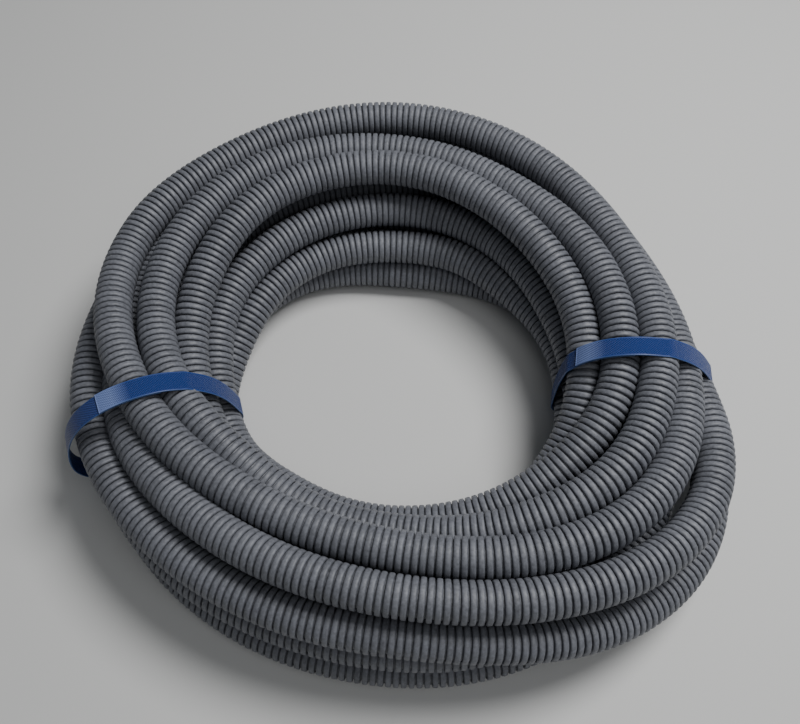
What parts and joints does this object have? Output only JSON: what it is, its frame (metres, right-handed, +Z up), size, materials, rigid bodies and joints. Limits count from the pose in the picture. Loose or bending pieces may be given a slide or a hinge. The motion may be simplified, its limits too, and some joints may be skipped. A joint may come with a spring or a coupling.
{
  "type": "coil of corrugated conduit",
  "caption": "Tied coil of grey corrugated flexible conduit, its turns stacked in nested rows round an open bore and held by flat blue straps.",
  "frame": {"origin": "on the floor, on the axis of the coil", "axes": "+Z up, along the axis of the coil; -Y towards the side that the picture looks from; strap_left on the -X side"},
  "size_m": [0.362, 0.362, 0.0799],
  "materials": {
    "conduit": "satin grey ribbed plastic",
    "strap": "embossed blue polypropylene strapping"
  },
  "bodies": {
    "root": {"conduit_coil": "conduit", "strap_left": "strap", "strap_right": "strap"}
  },
  "joints": []
}
